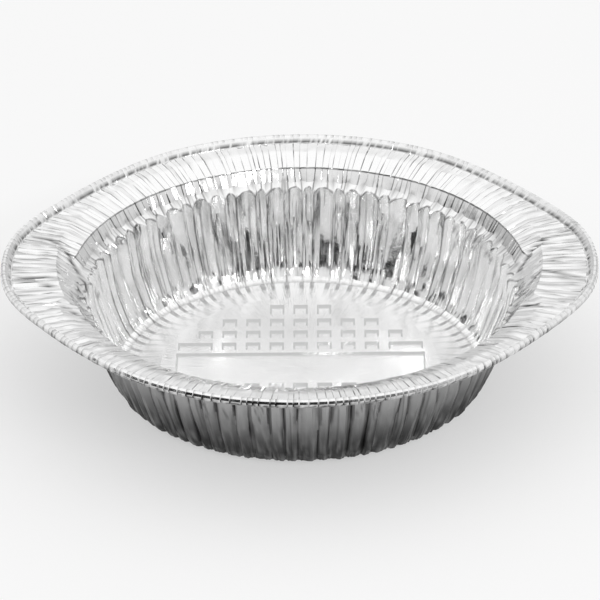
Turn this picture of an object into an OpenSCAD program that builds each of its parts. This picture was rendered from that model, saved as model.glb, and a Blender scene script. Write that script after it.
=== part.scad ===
// Round foil pan with two wide ears.
// One sheet of aluminium foil is pressed into a fluted bowl with a stepped collar for a lid.
// Its edge is rolled over into a hollow bead, and its base is stiffened with pressed pockets.
// The pan stands on the ring around its base, at z = 0, centred on the origin. Its ears point
// along X. All sizes are in millimetres.

/* [Overall size] */
// Length over both ears, outside the rolled bead
pan_length = 355; // [340:1:380]
// Width across the round part of the rim, outside the bead
pan_width = 332; // [320:1:345]
// Height from the table to the top of the bead
pan_height = 76; // [60:1:90]
// Thickness of the foil
foil_t = 0.15; // [0.12:0.01:0.4]

/* [Rolled bead] */
// Width of the bead
bead_w = 4.6; // [3:0.1:6]
// Height of the bead
bead_h = 5.6; // [4:0.1:8]
// Width of the groove that the crimping leaves inside the bead
groove_w = 1.2; // [0.6:0.1:2]
// Depth of that groove below the flange
groove_d = 0.8; // [0.3:0.1:1.5]

/* [Ears] */
// Angle from the ear's tip at which it has run back into the round rim
ear_spread = 22; // [16:1:28]
// How far the outline dips in between an ear and the round part
waist = 2.4; // [0:0.1:4]
// Half the angle that an ear's well takes at the foot of the sloping band
well_top = 12.2; // [10:0.1:16]
// Half the angle that it takes at the foot of the riser
well_mid = 7.8; // [6:0.1:10]
// Half the angle that it takes at the top of the wall
well_low = 5; // [3:0.1:6]
// Angle by which the middle of the well lies in front of the ear's tip
well_skew = 3.2; // [0:0.1:5]
// How far the well sets the top of the wall back towards the ear
well_set = 2.8; // [1:0.1:4]

/* [Flange and stepped collar] */
// Depth of the flange below the top of the bead
flange_sink = 4; // [3:0.1:6]
// Width of the flange on the round part, from the middle of the bead
flange_w = 15.2; // [12:0.1:18]
// Fall of the flange towards the bowl
flange_fall = 0.7; // [0:0.1:2]
// Width of the sloping band inside the flange
band_w = 12.5; // [8:0.1:16]
// Fall of the sloping band
band_fall = 4.4; // [2:0.1:7]
// Width that the steep riser takes in plan
riser_w = 4.9; // [3:0.1:7]
// Fall of the riser
riser_fall = 7.9; // [5:0.1:10]
// Width of the ledge at the foot of the riser
ledge_w = 4.6; // [3:0.1:6]
// Fall of the ledge
ledge_fall = 2; // [1:0.1:3]
// Depth of the fine pleats that cross the collar, to each side
pleat = 0.35; // [0.1:0.05:0.6]

/* [Fluted wall] */
// Number of flutes around the bowl
flute_n = 80; // [60:4:88]
// How far the flutes' edges stray from even spacing, as a share of a flute
uneven = 0.15; // [0:0.01:0.2]
// How far the flutes lean and vary in depth, as a share of their width and depth
play = 0.2; // [0:0.01:0.25]
// Depth of the flutes to each side at the top of the wall
flute_top = 1.9; // [0.8:0.1:2.4]
// Depth of the flutes to each side at the foot of the wall
flute_foot = 0.9; // [0.4:0.1:1.4]
// How far the points between two flutes reach down from the ledge
point_h = 2.8; // [0:0.1:3.5]
// How far the wall swells out from a straight line
belly = 2.2; // [0:0.1:4]
// Radius of the foot of the wall
heel_r = 113.3; // [100:0.1:118]
// Height of the foot of the wall
heel_h = 8; // [6:0.1:12]

/* [Base] */
// Width that the rounded heel takes in plan, from the foot of the wall to the standing ring
heel_w = 9; // [6:0.1:12]
// Width of the flat ring that the pan stands on
ring_w = 5.5; // [3:0.1:8]
// Width of the sloping ring between the standing ring and the flat middle
rise_w = 14.3; // [10:0.1:20]
// Height of the underside of the middle above the table
base_h = 2; // [1.8:0.1:4]

/* [Pressed pockets] */
// Spacing of the pockets both ways
pocket_pitch = 14.5; // [13:0.1:16]
// Width of a pocket at its mouth
pocket_w = 9; // [7:0.1:10]
// Depth of a pocket
pocket_d = 1.4; // [0.8:0.1:1.6]
// How far each pocket's sides lean in
pocket_draft = 1.2; // [0.4:0.1:1.6]
// Length of the pockets in the outer row
long_pocket = 12; // [9:0.1:13]
// Bare margin between the pockets and the edge of the flat middle
pocket_margin = 4.5; // [3:0.1:8]
// Length of the bare panel across the middle
panel_l = 151; // [130:0.5:152]
// Width of the bare panel
panel_w = 33; // [24:0.5:33]

/* [Hidden] */
// Stations around the pan: two for each flute on the bowl and collar, one on the plain rows.
stations = 2 * flute_n;
bead_z = pan_height - bead_h / 2;
bead_angles = [-165, -105, -50, 0, 45, 90, 140];
round_r = (pan_width - bead_w) / 2;
ear_reach = (pan_length - pan_width) / 2;
waist_at = 43;
waist_spread = 14;
flange_z = pan_height - flange_sink;
flange_r = round_r - flange_w;
band_r = flange_r - band_w;
riser_r = band_r - riser_w;
ledge_r = riser_r - ledge_w;
band_z = flange_z - flange_fall - band_fall;
riser_z = band_z - riser_fall;
ledge_z = riser_z - ledge_fall;
foot_z = foil_t / 2;
mid_r = heel_r - heel_w - ring_w - rise_w;
mid_z = base_h + foil_t / 2;
eps = 0.01;

// Angle between a station and the nearest ear's tip, from 90 at the back to -90 in front.
function fold(a) = asin(sin(a));
function blend(p, q, t) = p * (1 - t) + q * t;
function soft(t) = let(u = min(max(t, 0), 1)) u * u * (3 - 2 * u);

// A wandering number between -1 and 1 for each k, the same on every run.
function stray(k) = sin(k * 137.5 + 50 * sin(k * 77));

// Angle of a station: even ones stand on the edges between flutes, odd ones on the flutes' middles.
function station_angle(i) =
    let(
        k = floor(i / 2),
        edge = k + uneven * stray(k),
        next = k + 1 + uneven * stray((k + 1) % flute_n)
    )
    360 / flute_n * (i % 2 == 0 ? edge : blend(edge, next, 0.5 + play * stray(5 * k + 2)));

// Plan outline of the middle of the bead: a circle, two ears and a slight waist beside each.
function rim_r(a) =
    let(d = abs(fold(a)))
    round_r
    + ear_reach * exp(-pow(d / ear_spread, 3))
    - waist * exp(-pow((d - waist_at) / waist_spread, 2));

// How open the ear's well is at a station, for a well that is 2 * half wide.
function well(a, half) = soft((half + 2 - abs(fold(a) + well_skew)) / 4);

// Section of the foil's middle surface at angle a, from the free edge of the curl to the middle
// of the base. The flutes and pleats go out where side is above 0 and in where it is below.
function section(a, side) =
    let(
        rb = rim_r(a),
        open = well(a, well_low),
        out = min(side * flute_top, 0.6 * ledge_w),
        curl = [for (q = bead_angles)
            [rb + (bead_w - foil_t) / 2 * cos(q), bead_z + (bead_h - foil_t) / 2 * sin(q)]],
        groove = [rb - bead_w / 2 - groove_w, flange_z - groove_d],
        shoulder = [flange_r, flange_z - flange_fall + side * pleat / 2],
        well_foot = [ledge_r + well_set, ledge_z + well_set / 4],
        band = blend([band_r + side * pleat, band_z],
            blend(shoulder, well_foot, 0.45), well(a, well_top)),
        riser = blend([riser_r + side * pleat, riser_z],
            blend(shoulder, well_foot, 0.8), well(a, well_mid)),
        ledge = blend([ledge_r, ledge_z], well_foot, open) + [out, min(side, 0) * point_h],
        heel = [heel_r + side * flute_foot, heel_h],
        wall = [for (f = [0.12, 0.4, 0.7])
            [blend(ledge_r, heel_r, f) + 4 * belly * f * (1 - f)
                + blend(out, side * flute_foot, f) + open * (1 - f) * well_set,
                blend(ledge_z, heel_h, f)]],
        toe = [heel_r - heel_w / 3 + side * flute_foot * 0.8, heel_h * 0.33],
        ring_out = [heel_r - heel_w, foot_z],
        ring_in = [heel_r - heel_w - ring_w, foot_z]
    )
    concat(curl, [groove, shoulder, band, riser, ledge], wall, [heel, toe, ring_out, ring_in,
        [mid_r, mid_z]]);

rows = len(section(0, 1));
first_fine = len(bead_angles) + 1;
last_fine = rows - 4;
function is_fine(k) = k >= first_fine && k <= last_fine;
function row_count(k) = is_fine(k) ? stations : flute_n;
function row_start(k) = k == 0 ? 0 : row_start(k - 1) + row_count(k - 1);
side_points = row_start(rows - 1) + row_count(rows - 1) + 1;

// Unit normal of the section at row k, pointing into the bowl and out of the curl.
function normal(s, k) =
    let(
        p = s[max(k - 1, 0)],
        q = s[min(k + 1, rows - 1)],
        d = (q - p) / norm(q - p)
    )
    k >= rows - 3 ? [0, 1] : [d[1], -d[0]];

// One skin of the foil, at lift above or below the middle surface, row by row.
function skin(lift) = concat(
    [for (k = [0 : rows - 1])
        for (i = [0 : row_count(k) - 1])
            let(
                a = is_fine(k) ? station_angle(i) : 360 * i / flute_n,
                deep = 1 + play * stray(3 * floor(i / 2) + 1),
                side = is_fine(k) ? (i % 2 == 0 ? -1 : deep) : 0,
                s = section(a, side),
                p = s[k] + lift * normal(s, k)
            )
            [p[0] * cos(a), p[0] * sin(a), p[1]]],
    [[0, 0, mid_z + lift]]);

// Triangles between two neighbouring rows, with as many stations or twice as many.
function strip(p, np, q, nq, flip) =
    np == nq
        ? [for (i = [0 : np - 1])
            let(j = (i + 1) % np)
            for (t = [[p + i, q + i, q + j], [p + i, q + j, p + j]])
                flip ? [t[2], t[1], t[0]] : t]
        : np < nq
        ? [for (i = [0 : np - 1])
            let(j = (i + 1) % np, m = 2 * i, h = 2 * i + 1, e = (2 * i + 2) % nq)
            for (t = [[p + i, q + m, q + h], [p + i, q + h, p + j], [p + j, q + h, q + e]])
                flip ? [t[2], t[1], t[0]] : t]
        : strip(q, nq, p, np, !flip);

function skin_faces(base, flip) = concat(
    [for (k = [0 : rows - 2])
        each strip(base + row_start(k), row_count(k),
            base + row_start(k + 1), row_count(k + 1), flip)],
    [for (i = [0 : row_count(rows - 1) - 1])
        let(
            c = base + side_points - 1,
            r = base + row_start(rows - 1),
            t = [r + i, c, r + (i + 1) % row_count(rows - 1)]
        )
        flip ? [t[2], t[1], t[0]] : t]);

// The pressed sheet with its rolled edge, before the pockets: two skins joined at the free edge.
module pressed_sheet() {
    polyhedron(
        points = concat(skin(foil_t / 2), skin(-foil_t / 2)),
        faces = concat(
            skin_faces(0, false),
            skin_faces(side_points, true),
            strip(side_points, row_count(0), 0, row_count(0), false)));
}

// A pocket's body with leaning sides: l by w at the mouth, top at z = 0, deep below it.
module pocket_body(l, w, deep) {
    lean = 2 * pocket_draft;
    hull() {
        translate([-l / 2, -w / 2, -eps])
            cube([l, w, eps]);
        translate([-(l - lean) / 2, -(w - lean) / 2, -deep])
            cube([l - lean, w - lean, eps]);
    }
}

// Every pocket of the base as [x, y, length, width]. Each row has as many whole pockets as fit in
// the round, and an end pocket that fills what is left of the row on each side.
field_r = mid_r - pocket_margin;
gap = pocket_pitch - pocket_w;
first_y = panel_w / 2 + gap / 2 + pocket_w / 2 + 0.75;
function row_y(n) = first_y + n * pocket_pitch;
function reach(y) = sqrt(max(pow(field_r, 2) - pow(y, 2), 0));
function whole(n) = floor((reach(row_y(n) + pocket_w / 2) - pocket_w / 2) / pocket_pitch);
function pocket_row(n) =
    let(
        y = row_y(n),
        c = max(whole(n) - (n == 0 ? 0 : 1), 0),
        start = c * pocket_pitch + pocket_w / 2 + gap,
        end_l = reach(y + pocket_w / 2) - start
    )
    concat(
        [for (i = [-c : c]) [i * pocket_pitch, y, pocket_w, pocket_w]],
        end_l > 4 ? [for (m = [-1, 1]) [m * (start + end_l / 2), y, end_l, pocket_w]] : []);
outer_y = row_y(2) + pocket_w / 2 + gap;
outer_row = concat(
    [for (i = [-1 : 1]) [i * pocket_pitch, outer_y + long_pocket / 2, pocket_w, long_pocket]],
    [for (i = [-2, 2]) [i * pocket_pitch, outer_y + pocket_w / 4, pocket_w, pocket_w / 2]]);
pockets = concat([for (n = [0 : 2]) each pocket_row(n)], outer_row);

// All the pressed hollows of the base, grown by a wall and cut short by it for the outside.
module hollows(wall, z, deep) {
    for (m = [-1, 1])
        for (p = pockets)
            translate([p[0], m * p[1], z])
                pocket_body(p[2] + 2 * wall, p[3] + 2 * wall, deep);
    translate([0, 0, z])
        pocket_body(panel_l + 2 * wall, panel_w + 2 * wall, deep);
}

module foil_pan() {
    color("silver")
        difference() {
            union() {
                pressed_sheet();
                hollows(foil_t, mid_z, pocket_d + foil_t / 2);
            }
            hollows(0, mid_z + foil_t / 2 + eps, pocket_d + eps);
        }
}

foil_pan();
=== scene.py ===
import math
import random

import bmesh
import bpy
from mathutils import Matrix, Vector, noise


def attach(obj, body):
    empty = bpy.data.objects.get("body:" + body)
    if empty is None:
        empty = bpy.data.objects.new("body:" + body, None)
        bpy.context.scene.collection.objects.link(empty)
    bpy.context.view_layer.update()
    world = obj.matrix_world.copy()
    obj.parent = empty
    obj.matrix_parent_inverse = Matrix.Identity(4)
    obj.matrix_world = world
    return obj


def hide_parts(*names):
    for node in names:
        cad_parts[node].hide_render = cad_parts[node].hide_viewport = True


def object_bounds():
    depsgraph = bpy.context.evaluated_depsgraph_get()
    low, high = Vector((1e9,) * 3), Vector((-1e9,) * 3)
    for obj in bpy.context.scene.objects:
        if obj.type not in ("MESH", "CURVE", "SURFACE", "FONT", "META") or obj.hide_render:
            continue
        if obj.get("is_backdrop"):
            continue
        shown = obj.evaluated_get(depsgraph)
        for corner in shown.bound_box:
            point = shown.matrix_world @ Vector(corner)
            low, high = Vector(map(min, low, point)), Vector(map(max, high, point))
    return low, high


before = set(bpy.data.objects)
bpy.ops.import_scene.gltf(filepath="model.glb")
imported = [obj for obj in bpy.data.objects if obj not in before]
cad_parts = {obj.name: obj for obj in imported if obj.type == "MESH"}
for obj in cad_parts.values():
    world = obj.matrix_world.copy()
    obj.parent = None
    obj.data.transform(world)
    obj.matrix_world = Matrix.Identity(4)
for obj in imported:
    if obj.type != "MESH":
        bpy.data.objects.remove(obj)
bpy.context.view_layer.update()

MM = 0.001

# The pressed sheet: rolled bead, eared flange, stepped collar, fluted wall and heel.
# One sheet of soft aluminium foil. A press gathers it into flutes and pleats as it forms the bowl,
# and its edge is rolled outwards and down into a hollow bead. Its sizes are in millimetres.
COLUMNS = 960
FLUTES = 80
PER_FLUTE = COLUMNS // FLUTES


def soft(t):
    """A step from 0 to 1 with soft ends."""
    t = min(max(t, 0.0), 1.0)
    return t * t * (3 - 2 * t)


def mix(p, q, t):
    return p + (q - p) * t


# In plan the bead is round, is drawn out into an ear at each side and has a slight waist beside it.
ROUND_R = 163.7
EAR_REACH = 11.5
EAR_SPREAD = 22
WAIST = 2.4
WAIST_AT = 43
WAIST_SPREAD = 14


def rim_radius(d):
    """The bead's radius at d degrees from an ear's tip."""
    d = abs(d)
    return (ROUND_R + EAR_REACH * math.exp(-(d / EAR_SPREAD) ** 3)
            - WAIST * math.exp(-((d - WAIST_AT) / WAIST_SPREAD) ** 2))


# Below each ear the collar's steps open into a well, one plain slope that widens upwards. It lies a
# little to the front of the ear's tip.
WELL_TOP = 12.2
WELL_MID = 7.8
WELL_LOW = 5.0
WELL_SKEW = 3.2
WELL_SIDE = 2.4


def well(d, half):
    """How far the well takes the place of the steps, where it is half degrees wide to each side."""
    return soft((half + WELL_SIDE / 2 - abs(d + WELL_SKEW)) / WELL_SIDE)


# The section's stops, each as plan radius and height. The bead is an oval curl at the angles given,
# and a lip, a groove and a bank lie between it and the flange.
BEAD_Z = 73.2
BEAD_HALF_W = 2.2
BEAD_HALF_H = 2.7
CURL = (-165, -130, -95, -60, -28, 5, 40, 75, 110, 148)
CURL_END_W = BEAD_HALF_W * 1.05
CURL_END_H = BEAD_HALF_H * 0.85
LIP = (-3.6, 0.5)
GROOVE = (-4.2, -0.4)
BANK = (-4.9, 0.0)
FLANGE_Z = 72.0
SHOULDER = (148.5, 71.3)
BAND_FOOT = (136.0, 66.9)
BROW = (135.75, 66.3)
UNDER = (135.35, 65.75)
RISER_FOOT = (131.1, 59.0)
LEDGE_EDGE = (126.5, 57.0)
WELL_EDGE = (141.5, 146.5)
WELL_FRONT = -16
WELL_SPAN = 26
WELL_FOOT = (129.3, 57.7)
HEEL = (113.3, 8.0)
TOE = (110.3, 3.0)
TREAD = (106.5, 1.25)
RING_OUT = (103.5, 0.75)
LOWEST = 0.08
RING_IN = (98.8, LOWEST)
MIDDLE = (84.5, 2.08)


def stops_of(d):
    """The run's stops in plan radius and height at d degrees from an ear's tip, d > 0 at the back."""
    rb = rim_radius(d)
    top = well(d, WELL_TOP)
    mid = well(d, WELL_MID)
    low = well(d, WELL_LOW)
    run = [(rb + BEAD_HALF_W * math.cos(math.radians(q)), BEAD_Z + BEAD_HALF_H * math.sin(math.radians(q)))
           for q in CURL[:-1]]
    q = math.radians(CURL[-1])
    run.append((rb + CURL_END_W * math.cos(q), BEAD_Z + CURL_END_H * math.sin(q)))
    run += [(rb + across, FLANGE_Z + rise) for across, rise in (LIP, GROOVE, BANK)]
    edge = mix(SHOULDER[0], mix(*WELL_EDGE, (d - WELL_FRONT) / WELL_SPAN), top)
    run.append((edge, SHOULDER[1]))
    for foot, share, open_well in ((BAND_FOOT, 0.45, top), (BROW, 0.48, top), (UNDER, 0.51, top),
                                   (RISER_FOOT, 0.8, mid), (LEDGE_EDGE, 1.0, low)):
        slope = (mix(edge, WELL_FOOT[0], share), mix(SHOULDER[1], WELL_FOOT[1], share))
        run.append((mix(foot[0], slope[0], open_well), mix(foot[1], slope[1], open_well)))
    return run + [HEEL, TOE, TREAD, RING_OUT, RING_IN, MIDDLE]


# Rows of faces below each stop of the run, from the curl's free edge inwards.
STOPS = (("curl", 1),) * (len(CURL) - 1) + (
    ("lip", 1), ("groove", 1), ("bank", 1), ("flange", 4), ("shoulder", 3), ("band", 1), ("brow", 1),
    ("under", 2), ("riser", 2), ("ledge", 14), ("heel", 2), ("toe", 2), ("tread", 2), ("ring", 2),
    ("rise", 1), ("middle", 0))
STOP_AT = {}
for number, (name, count) in enumerate(STOPS):
    STOP_AT.setdefault(name, number)
LIP_AT = STOP_AT["lip"]
GROOVE_AT = STOP_AT["groove"]
FLANGE_AT = STOP_AT["flange"]
SHOULDER_AT = STOP_AT["shoulder"]
BAND_AT = STOP_AT["band"]
BROW_AT = STOP_AT["brow"]
UNDER_AT = STOP_AT["under"]
RISER_AT = STOP_AT["riser"]
LEDGE_AT = STOP_AT["ledge"]
HEEL_AT = STOP_AT["heel"]
TOE_AT = STOP_AT["toe"]
TREAD_AT = STOP_AT["tread"]
RING_AT = STOP_AT["ring"]


def place_on_run(s, d):
    """Radius and height s stops along the run, and the way that points into the foil's front there."""
    run = stops_of(d)
    n = min(int(s), len(run) - 1)
    t = s - n
    here = run[n]
    there = run[min(n + 1, len(run) - 1)]
    back = run[max(n - 1, 0)] if t == 0 else here
    tangent = Vector((there[0] - back[0], there[1] - back[1])).normalized()
    return mix(here[0], there[0], t), mix(here[1], there[1], t), Vector((tangent.y, -tangent.x))


# Each flute has its own width, depth, lean and height, and its own bend in the wall's belly, because
# foil never gathers evenly.
FLUTE_TOP = 1.9
FLUTE_FOOT = 0.9
ARCH_DROP = 2.8
BELLY = 2.8
UNEVEN = 0.15
PLAY = 0.2
dice = random.Random(31)


def stray(k):
    """A wandering number between -1 and 1 for each k."""
    return math.sin(math.radians(k * 137.5 + 50 * math.sin(math.radians(k * 77))))


flute_shift = [UNEVEN * stray(k) for k in range(FLUTES)]
flute_mid = [0.5 + PLAY * stray(5 * k + 2) for k in range(FLUTES)]
flute_depth = [1 + PLAY * stray(3 * k + 1) for k in range(FLUTES)]
flute_foot = [dice.choice((0.5, 0.9, 1.0, 1.1, 1.2)) for k in range(FLUTES)]
flute_lean = [dice.uniform(-0.2, 0.2) for k in range(FLUTES)]
flute_rise = [dice.uniform(-0.9, 0.9) for k in range(FLUTES)]
flute_kink = [dice.uniform(0.25, 0.62) for k in range(FLUTES)]
flute_slant = [dice.uniform(-0.3, 0.3) for k in range(FLUTES)]
# How dark the painted shade line at each flute's edge is.
flute_line_shade = [dice.choice((0.15, 0.5, 0.7, 0.9)) for k in range(FLUTES)]

# Each flute is folded into a few flat facets. A fold between two facets sits on one column, stands in
# or out by its own amount and starts at its own share of the way down the wall.
FOLD_COLUMNS = ((3, 6, 9), (2, 5, 9), (3, 7, 10), (2, 6, 8), (4, 6, 9), (3, 5, 8), (4, 8, 10), (2, 4, 8))
flute_folds = []
for k in range(FLUTES):
    places = dice.choice(FOLD_COLUMNS)
    inner = [(at, dice.uniform(-0.6, 0.6), dice.choice((0.0, 0.0, 0.25, 0.45))) for at in places]
    flute_folds.append([(0, 0.0, 0.0)] + inner + [(PER_FLUTE, 0.0, 0.0)])

# The collar and the bead gather in pleats of their own, three to six columns wide, each with a
# sharp narrow crease. Every column has its place in its pleat, and the pleat's width, the depths of
# its crease and the tilt of its facet.
pleat_of = []
while len(pleat_of) < COLUMNS:
    wide = dice.choice((3, 3, 4, 5, 6))
    left = COLUMNS - len(pleat_of)
    if left < 8:
        wide = left if left < 6 else 3
    crease = {"bead": dice.uniform(0.35, 0.9), "flange": dice.choice((0.05, 0.15, 0.3, 0.55)),
              "band": dice.choice((0.05, 0.15, 0.35, 0.5)), "riser": dice.choice((0.05, 0.2, 0.45))}
    tilt = (dice.uniform(-0.22, 0.22), dice.uniform(-0.22, 0.22))
    pleat_of += [(k, wide, crease, tilt) for k in range(wide)]

# Knocks near the top of the wall: column, share of the way down, half width and height, depth.
knocks = [(dice.randrange(COLUMNS), dice.uniform(0.03, 0.4), dice.uniform(3, 7), dice.uniform(0.07, 0.2),
           dice.uniform(0.7, 1.6)) for k in range(34)]


def flute_angle(j):
    """Degrees round the pan of column j where the foil is gathered into flutes."""
    k, phase = divmod(j, PER_FLUTE)
    here = k + flute_shift[k % FLUTES]
    there = k + 1 + flute_shift[(k + 1) % FLUTES]
    return 360 / FLUTES * mix(here, there, phase / PER_FLUTE)


def pleat_angle(j):
    """Degrees round the pan of column j where the foil is gathered into pleats."""
    k, wide = pleat_of[j][:2]
    place = 0.0 if k == 0 else 0.4 + (wide - 0.8) * (k - 1) / (wide - 2)
    return 360 / COLUMNS * (j - k + place)


def pleat_lift(j, part):
    """How far column j stands out of the given part: sunk at the crease, and tilted beside it."""
    k, wide, crease, tilt = pleat_of[j]
    if k == 0:
        return -crease[part]
    return mix(tilt[0], tilt[1], (k - 1) / (wide - 2))


def crease_of(j, part):
    """How sharply column j is creased in the given part."""
    k, wide, crease, tilt = pleat_of[j]
    return min(1.5 * crease[part], 1.0) if k == 0 else 0.0


def arch(p, middle):
    """The outline of a flute's section, 0 at its sides and 1 at its middle."""
    u = p / middle if p < middle else (1 - p) / (1 - middle)
    return 1 - (1 - u) ** 2.1


def facet(k, phase, middle, size, f):
    """How high the folded facet of flute k stands at a column: share of the arch, and millimetres."""
    folds_of = flute_folds[k]
    for left, right in zip(folds_of, folds_of[1:]):
        if left[0] <= phase <= right[0]:
            break
    t = (phase - left[0]) / (right[0] - left[0])
    ends = []
    for at, off, begin in (left, right):
        panel = arch(at / PER_FLUTE, middle) if 0 < at < PER_FLUTE else 0.0
        ends.append((panel, off * soft((f - begin) / 0.3)))
    panel = mix(ends[0][0], ends[1][0], t)
    panel = mix(arch(phase / PER_FLUTE, middle), panel, soft(f / 0.12))
    return panel, size * (2 * panel - 1) + mix(ends[0][1], ends[1][1], t)


# Deep creases across the ears, each as plan points (radius, angle) with its depth.
EAR_FOLDS = [
    (((169, 12.3), (158, 12.6), (150, 12.0), (140, 9.0), (131, 5.5)), 1.1),
    (((169, -6.2), (151, -4.6), (147, -2.4), (136, -5.1)), 0.9),
    (((150, -20.5), (141, -18.5), (137, -20.5)), 0.9),
    (((168, 166.8), (151, 167.2), (140, 171.0), (131, 175.5), (124, 179.0)), 1.1),
    (((169, 184.8), (155, 184.8), (149, 189.0)), 0.9),
    (((146, 198.0), (142, 199.5), (136, 204.5)), 0.9),
]
EAR_FOLD_HALF_W = 1.6
EAR_FOLDS_END = 26
ear_folds = [([Vector((r * math.cos(math.radians(a)), r * math.sin(math.radians(a)))) for r, a in line], deep)
             for line, deep in EAR_FOLDS]


def ear_fold_depth(p):
    """How deep the deepest ear fold is at a plan point."""
    deepest = 0.0
    for line, deep in ear_folds:
        for a, b in zip(line, line[1:]):
            way = b - a
            t = min(max((p - a).dot(way) / way.length_squared, 0.0), 1.0)
            deepest = max(deepest, deep * (1 - (p - a - way * t).length / EAR_FOLD_HALF_W))
    return deepest


def ripple(a, fine, level):
    """Noise round the pan at angle a: the larger fine is, the shorter its waves. Each level differs."""
    return noise.noise(Vector((math.cos(a) * fine, math.sin(a) * fine, level)))


def crimp_bead(s, j, a, r, z):
    """The bead has crimp ticks all round, deepest on its outside and on a few long stretches."""
    q = CURL[int(s)]
    k, wide, crease, tilt = pleat_of[j]
    stretch = 0.5 + 0.7 * soft(ripple(a, 5, 3.0) * 2 + 0.5)
    knuckle = ripple(a, 60, q * 0.02)
    outside = mix(1.0, 0.3, soft((q + 10) / 60))
    lift = pleat_lift(j, "bead") * (stretch * outside if k == 0 else 0.5)
    lift -= 0.2 * abs(knuckle) + 0.1
    # Painted shade in the gaps between the crimps, strongest on the bead's outside.
    tick = crease["bead"] * (1.0 if k == 0 else 0.75 if k == 1 else 0.0)
    # Painted shade on the curl's under side, which faces the pan's shadow on the table.
    under_shade = soft((35 - q) / 70) * (0.7 + 0.9 * knuckle)
    fold = max(tick * 1.7 * stretch * outside, under_shade)
    return r + lift * math.cos(math.radians(q)), z + lift * math.sin(math.radians(q)), fold


def crease_lip(s, j, a, r, z):
    """The lip and the groove beside the bead are blotched with short creases."""
    blot = 0.3 * ripple(a, 30, 9.0)
    blot += ripple(a, 130, 2.0) + 0.2 * math.sin(a)
    # Painted shade: dark blotches along the groove beside the bead.
    fold = min(max(0.42 + 1.9 * blot, 0.0), 0.9) if s == GROOVE_AT else 0.0
    return r + 0.3 * blot, z + pleat_lift(j, "flange") * 0.4 - 0.3 * max(blot, 0), fold


def crease_flange(s, j, a, d, r, crumple):
    """The flange's creases come and go, and the ears are crumpled the most."""
    broken = ripple(a, 50, r * 0.22)
    ear = math.exp(-(d / 24) ** 2)
    lift = 0.8 * pleat_lift(j, "flange")
    # Painted shade along the pleat creases, darker and wider on the ears.
    fold = crease_of(j, "flange") * mix(0.15, 1.5, soft(0.5 + 2.2 * broken)) * (1 + ear)
    fold += 0.7 * ear * max(broken, 0.0)
    if s > SHOULDER_AT:
        on_band = min((s - SHOULDER_AT) * 2, 1.0)
        stepped = 1 - well(d, WELL_TOP)
        lift = mix(lift, pleat_lift(j, "band"), on_band) * stepped
        fold = mix(fold, crease_of(j, "band"), on_band) * stepped
    lift += (0.3 + 0.6 * ear) * crumple + (0.35 + 0.5 * ear) * broken
    return lift, fold


def crease_collar(s, j, d, crumple):
    """The riser's creases, and the brow above it, a sharp bend that runs round the pan."""
    stepped = 1 - well(d, WELL_TOP)
    lift = mix(pleat_lift(j, "band"), pleat_lift(j, "riser"), min((s - BAND_AT) * 3, 1.0))
    lift *= (1 - soft(s - RISER_AT)) * stepped
    # Painted shade: a dark line along the brow's bend and in the riser's creases.
    brow = (0.6 + 0.5 * crumple) * stepped if s == BROW_AT else 0.0
    return lift + 0.3 * crumple, max(crease_of(j, "riser") * stepped, brow)


def crease_flute(s, k, phase, crumple):
    """Painted shade: the dark lines between the flutes, in their deeper folds, round their tops and on the
    heel.
    """
    deep_folds = [at for at, off, begin in flute_folds[k] if off < -0.25 and s > LEDGE_AT + begin + 0.2]
    fold = 0.0
    if phase == 0:
        fold = flute_line_shade[k] * mix(0.45, 1.0, soft(0.5 + 2.5 * crumple))
    elif phase in deep_folds and s < HEEL_AT:
        fold = 0.4
    elif s == LEDGE_AT:
        fold = 0.75 * soft(0.7 + 2 * crumple)
    elif s == TREAD_AT:
        fold = 0.3
    if TREAD_AT < s <= RING_AT + 1:
        fold = 0.5 if phase in (0, 1, 2, PER_FLUTE - 1) else 0.0
    fold *= 1 - 0.6 * soft((s - RING_AT - 0.5) * 2)
    return 0.0 if s > RING_AT + 1 else fold


def gather_flute(s, j, a, r, z, lift, fold, crumple):
    """The flutes stand out of the wall, end in arches under the ledge and run out on the heel."""
    k, phase = divmod(j, PER_FLUTE)
    p = phase / PER_FLUTE
    f = min(max(s - LEDGE_AT, 0.0), 1.0)
    grow = min(max(s - RISER_AT, 0.0), 1.0)
    fade = 1 - soft((s - HEEL_AT) / 2)
    middle = min(max(flute_mid[k] + flute_lean[k] * (f - 0.4), 0.22), 0.78)
    deep = mix(flute_depth[k], flute_foot[k], soft(f * 1.2 - 0.1))
    panel, out = facet(k, phase, middle, mix(FLUTE_TOP, FLUTE_FOOT, f) * deep, f)
    kink = flute_kink[k] + flute_slant[k] * (p - 0.5)
    bow = min(f / kink, (1 - f) / (1 - kink))
    r += out * grow * fade + BELLY * mix(bow, bow * (2 - bow), 0.35)
    if s > HEEL_AT:
        edge = max(1 - min(p, 1 - p) / 0.15, 0.0)
        row_gap = soft(abs(s - TREAD_AT) * 3)
        end = 1 - soft((s - RING_AT + 0.2) / 0.2)
        z += (0.75 * edge + 0.3 * (1 - panel)) * row_gap * end * soft((s - HEEL_AT) * 2) * flute_depth[k]
    if s > LEDGE_AT:
        z -= ARCH_DROP * (1 - panel) * (1 - soft(f * 5))
        z += flute_rise[k] * panel * (1 - soft(f * 4))
    else:
        z -= ARCH_DROP * (1 - panel) * grow * grow
        if s < LEDGE_AT:
            peak = (1 - panel) * (1 - abs(s - RISER_AT) / 0.9)
            r += 0.7 * peak
            z += 1.2 * peak
            # Painted shade round the flutes' arch tops.
            fold = max(fold, 0.5 * peak)
    for at, high, wide, tall, deep_in in knocks:
        away = abs((j - at + COLUMNS / 2) % COLUMNS - COLUMNS / 2) / wide + abs(f - high) / tall
        if away < 1:
            lift += deep_in * (1 - away)
            # Painted shade in a ring round each knock.
            fold = max(fold, 0.6 * (1 - abs(away - 0.8) / 0.2))
    lift += (0.3 * crumple + 0.95 * ripple(a, 30, z * 0.03 + 7)) * fade * grow
    lift += 0.5 * ripple(a, 90, 0.0) * soft((f - 0.9) * 10) * (1 - soft((s - TOE_AT) / 2))
    return r, z, lift, fold


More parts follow.
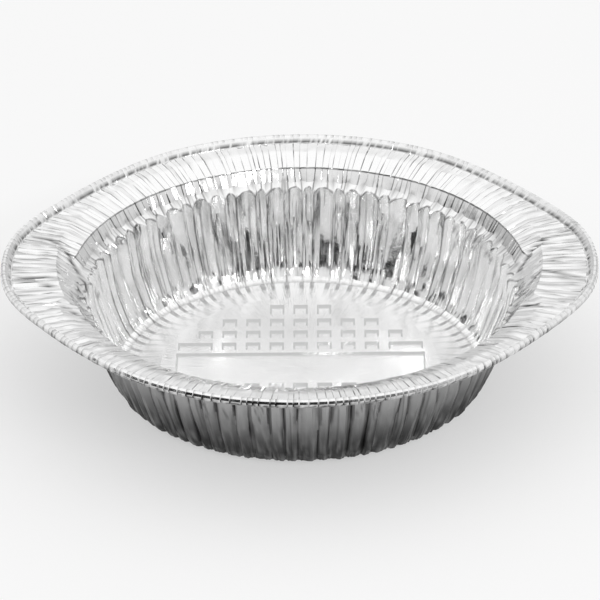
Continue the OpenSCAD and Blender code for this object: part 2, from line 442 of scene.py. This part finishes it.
def press(v):
    """A vertex's place in the gathered foil, the painted shade of its folds by how sharply it is folded, and
    the painted shade that grows towards the wall's foot.
    """
    s = v[row_layer]
    j = round(math.degrees(math.atan2(v.co.y, v.co.x)) / (360 / COLUMNS)) % COLUMNS
    a = math.radians(mix(pleat_angle(j), flute_angle(j), soft((s - UNDER_AT) / (LEDGE_AT - UNDER_AT))))
    d = math.degrees(math.atan2(math.sin(a), abs(math.cos(a))))
    r, z, inward = place_on_run(s, d)
    crumple = ripple(a, 55, z * 0.10 + r * 0.02)
    lift = 0.0
    if s < LIP_AT:
        r, z, fold = crimp_bead(s, j, a, r, z)
    elif s < FLANGE_AT:
        r, z, fold = crease_lip(s, j, a, r, z)
    elif s < BAND_AT:
        lift, fold = crease_flange(s, j, a, d, r, crumple)
    elif s < LEDGE_AT:
        lift, fold = crease_collar(s, j, d, crumple)
    else:
        fold = crease_flute(s, *divmod(j, PER_FLUTE), crumple)
    if s >= RISER_AT:
        r, z, lift, fold = gather_flute(s, j, a, r, z, lift, fold, crumple)
    if FLANGE_AT < s < LEDGE_AT + 0.2 and abs(d) < EAR_FOLDS_END:
        deep = ear_fold_depth(Vector((math.cos(a) * r, math.sin(a) * r)))
        lift -= deep
        # Painted shade along the ear folds, as deep as they are.
        fold = max(fold, deep)
    r += inward.x * lift
    z += inward.y * lift
    # Painted shade that grows down the wall towards its foot and fades out on the tread.
    foot_shade = soft(s - LEDGE_AT) * (1 - soft((s - TREAD_AT) / 2)) * (1 + 0.5 * min(crumple, 0.0))
    return Vector((math.cos(a) * r, math.sin(a) * r, max(z, LOWEST))), min(fold, 1.0), foot_shade


# The section is a chain of vertices at angle zero, spun once round the pan's axis and then pressed.
mesh = bpy.data.meshes.new("foil_sheet")
sheet = bpy.data.objects.new("foil_sheet", mesh)
bpy.context.scene.collection.objects.link(sheet)
bm = bmesh.new()
row_layer = bm.verts.layers.float.new("run")
# Per-vertex amounts of painted shade: in creases and folds, and down the wall towards its foot.
fold_shade_layer = bm.verts.layers.float.new("fold")
foot_shade_layer = bm.verts.layers.float.new("foot_shade")
FIRST_ROW = 0.025
RISER_ROW = 0.8
start = stops_of(90.0)
chain = []
for number, (name, count) in enumerate(STOPS):
    for step in range(max(count, 1)):
        t = step / max(count, 1)
        if name == "ledge" and step:
            t = FIRST_ROW + (1 - FIRST_ROW) * (step - 1) / (count - 1)
        if name == "riser" and step:
            t = RISER_ROW
        p = start[number]
        q = start[min(number + 1, len(start) - 1)]
        v = bm.verts.new((mix(p[0], q[0], t), 0.0, mix(p[1], q[1], t)))
        v[row_layer] = number + t
        chain.append(v)
edges = [bm.edges.new((p, q)) for p, q in zip(chain, chain[1:])]
bmesh.ops.spin(bm, geom=chain + edges, cent=(0, 0, 0), axis=(0, 0, 1), dvec=(0, 0, 0),
               angle=math.radians(360), steps=COLUMNS, use_merge=True, use_duplicate=False)
INSIDE_RING = 90
inner_edges = [e for e in bm.edges
               if e.is_boundary and min(v.co.to_2d().length for v in e.verts) < INSIDE_RING]
for v in bm.verts:
    v.co, v[fold_shade_layer], v[foot_shade_layer] = press(v)

# The base: flat middle with pressed pockets and a bare panel.
# The press stiffens the bottom with rows of small square pockets, sunk with leaning sides. The
# panel across the middle is plain foil.
POCKET_PITCH = 14.5
POCKET_W = 9.0
POCKET_D = 1.4
POCKET_DRAFT = 1.2
LONG_POCKET = 12.0
POCKET_MARGIN = 4.5
POCKET_ROUNDING = 0.4
PANEL_L = 151.0
PANEL_W = 33.0
PANEL_BORDER = 0.75
GAP = POCKET_PITCH - POCKET_W
FIELD_R = MIDDLE[0] - POCKET_MARGIN
FIRST_Y = PANEL_W / 2 + GAP / 2 + POCKET_W / 2 + PANEL_BORDER
SHORTEST_POCKET = 4.0
PAST_PAN = 200.0


def reach(y):
    """Half the length of a line across the field of pockets, y from its middle."""
    return math.sqrt(max(FIELD_R ** 2 - y ** 2, 0.0))


# Three rows of square pockets lie on each side of the panel, with a longer one at a row's end where
# it fits, and then a short row of longer ones. Each is its middle, its length and its width.
pockets = []
for number in range(3):
    y = FIRST_Y + number * POCKET_PITCH
    far = y + POCKET_W / 2
    whole = math.floor((reach(far) - POCKET_W / 2) / POCKET_PITCH)
    count = max(whole - (1 if number == 0 else 0), 0)
    for i in range(-count, count + 1):
        pockets.append((i * POCKET_PITCH, y, POCKET_W, POCKET_W))
    first = count * POCKET_PITCH + POCKET_W / 2 + GAP
    length = reach(far) - first
    if length > SHORTEST_POCKET:
        for way in (-1, 1):
            pockets.append((way * (first + length / 2), y, length, POCKET_W))
outer_y = FIRST_Y + 2 * POCKET_PITCH + POCKET_W / 2 + GAP
for i in (-1, 0, 1):
    pockets.append((i * POCKET_PITCH, outer_y + LONG_POCKET / 2, POCKET_W, LONG_POCKET))
for i in (-2, 2):
    pockets.append((i * POCKET_PITCH, outer_y + POCKET_W / 4, POCKET_W, POCKET_W / 2))

bmesh.ops.contextual_create(bm, geom=inner_edges)


def cut(point, across, left, right, front, back):
    """Cuts the flat middle's faces that lie between the given sides by one upright plane."""
    faces = []
    for f in bm.faces:
        c = f.calc_center_bounds()
        if (c.to_2d().length < MIDDLE[0] and abs(c.z - MIDDLE[1]) < 0.02 and left < c.x < right
                and front < c.y < back and all(v.co.to_2d().length < MIDDLE[0] + 0.1 for v in f.verts)):
            faces.append(f)
    corners = list(dict.fromkeys(v for f in faces for v in f.verts))
    sides = list(dict.fromkeys(e for f in faces for e in f.edges))
    bmesh.ops.bisect_plane(bm, geom=corners + sides + faces, dist=0.00001, plane_co=point, plane_no=across)


whole_rows = [(x, y, l, w) for x, y, l, w in pockets if w >= POCKET_W]
short_ones = [(x, y, l, w) for x, y, l, w in pockets if w < POCKET_W]
lines = {-PANEL_W / 2, PANEL_W / 2}
for x, y, l, w in whole_rows:
    lines |= {round(way * (y + side * w / 2), 4) for way in (-1, 1) for side in (-1, 1)}
for y in sorted(lines):
    cut((0, y, 0), (0, 1, 0), -PAST_PAN, PAST_PAN, -PAST_PAN, PAST_PAN)
for way in (-1, 1):
    for x, y, l, w in pockets:
        for edge in (x - l / 2, x + l / 2):
            cut((edge, 0, 0), (1, 0, 0), -PAST_PAN, PAST_PAN, way * y - w / 2 - 0.01, way * y + w / 2 + 0.01)
    for x, y, l, w in short_ones:
        low, high = sorted((way * outer_y, way * (outer_y + LONG_POCKET)))
        cut((0, way * (y + w / 2), 0), (0, 1, 0), x - l / 2, x + l / 2, low, high)
for edge in (-PANEL_L / 2, PANEL_L / 2):
    cut((edge, 0, 0), (1, 0, 0), -PAST_PAN, PAST_PAN, -PANEL_W / 2, PANEL_W / 2)

hollows = []
bm.faces.ensure_lookup_table()
wanted = [(x, way * y, l, w) for x, y, l, w in pockets for way in (-1, 1)] + [(0, 0, PANEL_L, PANEL_W)]
for f in bm.faces:
    c = f.calc_center_bounds()
    if c.to_2d().length > MIDDLE[0] or abs(c.z - MIDDLE[1]) > 0.02:
        continue
    for x, y, l, w in wanted:
        if abs(c.x - x) < 0.3 and abs(c.y - y) < 0.3:
            hollows.append(f)
            break
bm.normal_update()
bmesh.ops.recalc_face_normals(bm, faces=bm.faces[:])
if sum(f.normal.z for f in hollows) < 0:
    bmesh.ops.reverse_faces(bm, faces=bm.faces[:])
bm.normal_update()
mouths = list(dict.fromkeys(e for f in hollows for e in f.edges))
bmesh.ops.inset_individual(bm, faces=hollows, thickness=POCKET_DRAFT, depth=0.0, use_even_offset=True)
sunk = list(dict.fromkeys(v for f in hollows for v in f.verts))
bmesh.ops.translate(bm, vec=(0, 0, -POCKET_D), verts=sunk)
floors = list(dict.fromkeys(e for f in hollows for e in f.edges))
bmesh.ops.bevel(bm, geom=mouths + floors, offset=POCKET_ROUNDING, offset_type="OFFSET", segments=2,
                profile=0.5, affect="EDGES", material=-1, clamp_overlap=True)
bm.normal_update()

# The sides of the hollows that lean to the front or the back get painted shade, grey dashes on the bright
# base, so they are marked for the material.
slope_shade_layer = bm.loops.layers.float.new("slope")
for f in bm.faces:
    if f.calc_center_bounds().to_2d().length < MIDDLE[0] - 1 and f.normal.z < 0.75:
        for corner in f.loops:
            corner[slope_shade_layer] = 0.5 * abs(f.normal.y)

# Soft foil keeps a crease where it was folded, so its sharp folds break the shading. On the wall a
# gentler fold does so too.
SHARP_FOLD = 19
SHARP_WALL_FOLD = 9
for e in bm.edges:
    halfway = (e.verts[0].co + e.verts[1].co) / 2
    sharp = SHARP_WALL_FOLD if HEEL[1] < halfway.z < LEDGE_EDGE[1] else SHARP_FOLD
    if len(e.link_faces) == 2 and e.calc_face_angle(0.0) > math.radians(sharp):
        e.smooth = False
for f in bm.faces:
    f.smooth = f.calc_center_bounds().to_2d().length > MIDDLE[0]
bmesh.ops.scale(bm, vec=(MM, MM, MM), verts=bm.verts[:])
bm.to_mesh(mesh)
bm.free()
GAUGE = 0.15
foil = sheet.modifiers.new("foil", "SOLIDIFY")
foil.thickness = GAUGE * MM
foil.offset = 0.0
foil.material_offset = 1
foil.material_offset_rim = 1


def linear(code):
    """An sRGB hex colour as linear red, green, blue and alpha."""
    parts = [int(code[i:i + 2], 16) / 255 for i in (1, 3, 5)]
    return [c / 12.92 if c <= 0.04045 else ((c + 0.055) / 1.055) ** 2.4 for c in parts] + [1.0]


def add(tree, kind, settings=None, sockets=None, links=None):
    """Adds one node with its settings, its socket values and its links from other nodes."""
    node = tree.nodes.new(kind)
    for name, value in (settings or {}).items():
        setattr(node, name, value)
    for name, value in (sockets or {}).items():
        node.inputs[name].default_value = value
    for name, source in (links or {}).items():
        tree.links.new(source, node.inputs[name])
    return node


# Soft aluminium foil, rolled bright: it gives clear, slightly blurred reflections, and handling has given it
# fine crinkles about 4 mm apart. The press leaves streaks down the wall, 2 mm wide at the rim and 25 mm long.
# Creases, folds and the marked slopes of the hollows get painted shade, a dark line in the foil's colour.
CRINKLE = 4.0
STREAKS_PER_RADIAN = 90.0
STREAK_LONG = 25.0
aluminium = bpy.data.materials.new("rolled_aluminium_foil")
aluminium.use_nodes = True
tree = aluminium.node_tree
tree.nodes.clear()
place = add(tree, "ShaderNodeTexCoord")
crinkle = add(tree, "ShaderNodeTexNoise", None,
              {"Scale": 1 / (CRINKLE * MM), "Detail": 3.0, "Roughness": 0.55},
              {"Vector": place.outputs["Object"]})
flat = add(tree, "ShaderNodeVectorMath", {"operation": "MULTIPLY"}, {1: (1, 1, 0)},
           {0: place.outputs["Object"]})
way = add(tree, "ShaderNodeVectorMath", {"operation": "NORMALIZE"}, None, {0: flat.outputs[0]})
lengthen = add(tree, "ShaderNodeVectorMath", {"operation": "SCALE"}, {"Scale": STREAKS_PER_RADIAN},
               {0: way.outputs[0]})
drift = add(tree, "ShaderNodeVectorMath", {"operation": "SCALE"}, {"Scale": 1 / (STREAK_LONG * MM)},
            {0: place.outputs["Object"]})
streak_place = add(tree, "ShaderNodeVectorMath", {"operation": "ADD"}, None,
                   {0: lengthen.outputs[0], 1: drift.outputs[0]})
streaks = add(tree, "ShaderNodeTexNoise", None, {"Scale": 1.0, "Detail": 2.0, "Roughness": 0.5},
              {"Vector": streak_place.outputs[0]})
bump_streaks = add(tree, "ShaderNodeBump", None, {"Strength": 0.5, "Distance": 0.3 * MM},
                   {"Height": streaks.outputs["Fac"]})
bump = add(tree, "ShaderNodeBump", None, {"Strength": 0.3, "Distance": 0.25 * MM},
           {"Height": crinkle.outputs["Fac"], "Normal": bump_streaks.outputs["Normal"]})
rough = add(tree, "ShaderNodeMapRange", None,
            {"From Min": 0.3, "From Max": 0.7, "To Min": 0.1, "To Max": 0.18},
            {"Value": crinkle.outputs["Fac"]})
# Painted shade: the fold and slope marks darken the foil's colour from #F7F7F7 towards #424242.
fold_shade_mark = add(tree, "ShaderNodeAttribute", {"attribute_name": "fold"})
slope_shade_mark = add(tree, "ShaderNodeAttribute", {"attribute_name": "slope"})
painted_crease_shade = add(tree, "ShaderNodeMath", {"operation": "MAXIMUM"}, None,
            {0: fold_shade_mark.outputs["Fac"], 1: slope_shade_mark.outputs["Fac"]})
shade = add(tree, "ShaderNodeMix", {"data_type": "RGBA"}, {6: linear("#F7F7F7"), 7: linear("#424242")},
            {0: painted_crease_shade.outputs[0]})
metal = add(tree, "ShaderNodeBsdfPrincipled", None, {"Metallic": 1.0},
            {"Base Color": shade.outputs[2], "Roughness": rough.outputs["Result"],
             "Normal": bump.outputs["Normal"]})
add(tree, "ShaderNodeOutputMaterial", None, None, {"Surface": metal.outputs["BSDF"]})
mesh.materials.append(aluminium)

# The side of the foil that lay against another layer in the rolling mill is satin and rougher. Its greyer
# colour is partly that finish and partly painted shade, and towards the wall's foot painted shade darkens it
# further, standing in for the pan's shadow on the table that the wall mirrors.
satin = aluminium.copy()
satin.name = "satin_foil_with_painted_shade"
satin_shade = [node for node in satin.node_tree.nodes if node.bl_idname == "ShaderNodeMix"][0]
# Painted shade: creases on the satin side darken further, towards #1E1E1E.
satin_shade.inputs[7].default_value = linear("#1E1E1E")
foot_shade_mark = add(satin.node_tree, "ShaderNodeAttribute", {"attribute_name": "foot_shade"})
# Painted shade: the satin grey #B6B6B6 darkens towards #3C3C3C down the wall to its foot.
grey_and_foot_shade = add(satin.node_tree, "ShaderNodeMix", {"data_type": "RGBA"},
           {6: linear("#B6B6B6"), 7: linear("#3C3C3C")}, {0: foot_shade_mark.outputs["Fac"]})
satin.node_tree.links.new(grey_and_foot_shade.outputs[2], satin_shade.inputs[6])
satin_rough = [node for node in satin.node_tree.nodes if node.bl_idname == "ShaderNodeMapRange"][0]
satin_rough.inputs["To Min"].default_value = 0.3
satin_rough.inputs["To Max"].default_value = 0.42
mesh.materials.append(satin)

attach(sheet, "root")
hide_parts("foil_pan")

# The studio: a white table, a soft bright sky and one weak soft lamp at the right.
# The table runs well past the view, so it fills the background.
table_mesh = bpy.data.meshes.new("table")
table = bpy.data.objects.new("table", table_mesh)
bpy.context.scene.collection.objects.link(table)
bm = bmesh.new()
bmesh.ops.create_grid(bm, x_segments=1, y_segments=1, size=6.0)
bmesh.ops.translate(bm, vec=(0, 0, -0.0002), verts=bm.verts[:])
bm.to_mesh(table_mesh)
bm.free()
card = bpy.data.materials.new("white_card")
card.use_nodes = True
tree = card.node_tree
tree.nodes.clear()
matt = add(tree, "ShaderNodeBsdfDiffuse", None, {"Color": linear("#FAFAFA")})
# Half of the card's white is plain for the camera and for what the foil mirrors, so that the pan's
# shadow stays light.
seen = add(tree, "ShaderNodeLightPath")
either = add(tree, "ShaderNodeMath", {"operation": "MAXIMUM"}, None,
             {0: seen.outputs["Is Camera Ray"], 1: seen.outputs["Is Glossy Ray"]})
any_of = add(tree, "ShaderNodeMath", {"operation": "MAXIMUM"}, None,
             {0: either.outputs[0], 1: seen.outputs["Is Transmission Ray"]})
share = add(tree, "ShaderNodeMath", {"operation": "MULTIPLY"}, {1: 0.5}, {0: any_of.outputs[0]})
plain = add(tree, "ShaderNodeEmission", None, {"Color": (1, 1, 1, 1), "Strength": 1.0})
white = add(tree, "ShaderNodeMixShader", None, None,
            {0: share.outputs[0], 1: matt.outputs[0], 2: plain.outputs[0]})
add(tree, "ShaderNodeOutputMaterial", None, None, {"Surface": white.outputs[0]})
table_mesh.materials.append(card)
table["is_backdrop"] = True

world = bpy.data.worlds.new("studio")
bpy.context.scene.world = world
world.use_nodes = True
tree = world.node_tree
tree.nodes.clear()
sky_way = add(tree, "ShaderNodeTexCoord")
# The room is bright overhead and behind the table and dark low down on the camera's left.
low_way = add(tree, "ShaderNodeVectorMath", {"operation": "DOT_PRODUCT"}, {1: (0.0, 0.12, 1.0)},
              {0: sky_way.outputs["Generated"]})
rise = add(tree, "ShaderNodeMapRange", None,
           {"From Min": 0.3, "From Max": 0.85, "To Min": 0.66, "To Max": 1.06},
           {"Value": low_way.outputs["Value"]})
veil = add(tree, "ShaderNodeMapRange", {"interpolation_type": "SMOOTHSTEP"},
           {"From Min": 0.24, "From Max": 0.42, "To Min": 1.0, "To Max": 0.0},
           {"Value": low_way.outputs["Value"]})
dim_way = add(tree, "ShaderNodeVectorMath", {"operation": "DOT_PRODUCT"}, {1: (-0.5, -0.8, 0.0)},
              {0: sky_way.outputs["Generated"]})
dim = add(tree, "ShaderNodeMapRange", None,
          {"From Min": -0.2, "From Max": 0.75, "To Min": 0.1, "To Max": 0.97},
          {"Value": dim_way.outputs["Value"]})
loss = add(tree, "ShaderNodeMath", {"operation": "MULTIPLY"}, None,
           {0: veil.outputs["Result"], 1: dim.outputs["Result"]})
keep = add(tree, "ShaderNodeMath", {"operation": "SUBTRACT"}, {0: 1.0}, {1: loss.outputs[0]})
level = add(tree, "ShaderNodeMath", {"operation": "MULTIPLY"}, None,
            {0: rise.outputs["Result"], 1: keep.outputs[0]})
sky = add(tree, "ShaderNodeBackground", None, {"Color": (1, 1, 1, 1)}, {"Strength": level.outputs[0]})
add(tree, "ShaderNodeOutputWorld", None, None, {"Surface": sky.outputs[0]})

lamp_data = bpy.data.lights.new("softbox", "AREA")
lamp_data.shape = "RECTANGLE"
lamp_data.size = 1.3
lamp_data.size_y = 0.22
lamp_data.energy = 8.0
softbox = bpy.data.objects.new("softbox", lamp_data)
bpy.context.scene.collection.objects.link(softbox)
stand_way = Vector((0.45, -0.69, 0.58)).normalized()
LAMP_AWAY = 2.7
aimed = stand_way.to_track_quat("Z", "Y").to_matrix().to_4x4()
softbox.matrix_world = Matrix.Translation(stand_way * LAMP_AWAY) @ aimed

# The camera stands where the photograph was taken from.
# It looks down at about thirty degrees from 2.3 m, with a long lens, and is turned by a hair.
DISTANCE = 2300.0
PITCH = 0.514444
ROLL = -0.01104
YAW = -0.00631
AIM_Z = 35.0
FOCUS_PX = 3841.76
FRAME_PX = 600
SHIFT_PX = 18.59
right = Vector((math.cos(YAW), -math.sin(YAW), 0))
ahead = Vector((math.sin(YAW) * math.cos(PITCH), math.cos(YAW) * math.cos(PITCH), -math.sin(PITCH)))
up = right.cross(ahead)
stand = (Vector((0, 0, AIM_Z)) - ahead * DISTANCE) * MM
right, up = right * math.cos(ROLL) + up * math.sin(ROLL), up * math.cos(ROLL) - right * math.sin(ROLL)
ahead = (ahead + up * (SHIFT_PX / FOCUS_PX)).normalized()
up = right.cross(ahead)
lens = bpy.data.cameras.new("camera")
lens.sensor_width = 36.0
lens.lens = 36.0 * FOCUS_PX / FRAME_PX
lens.clip_end = 30.0
camera = bpy.data.objects.new("camera", lens)
bpy.context.scene.collection.objects.link(camera)
turn = Matrix((right, up, -ahead)).transposed().to_4x4()
camera.matrix_world = Matrix.Translation(stand) @ turn
bpy.context.scene.camera = camera
bpy.context.scene.view_settings.view_transform = "Standard"

low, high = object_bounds()
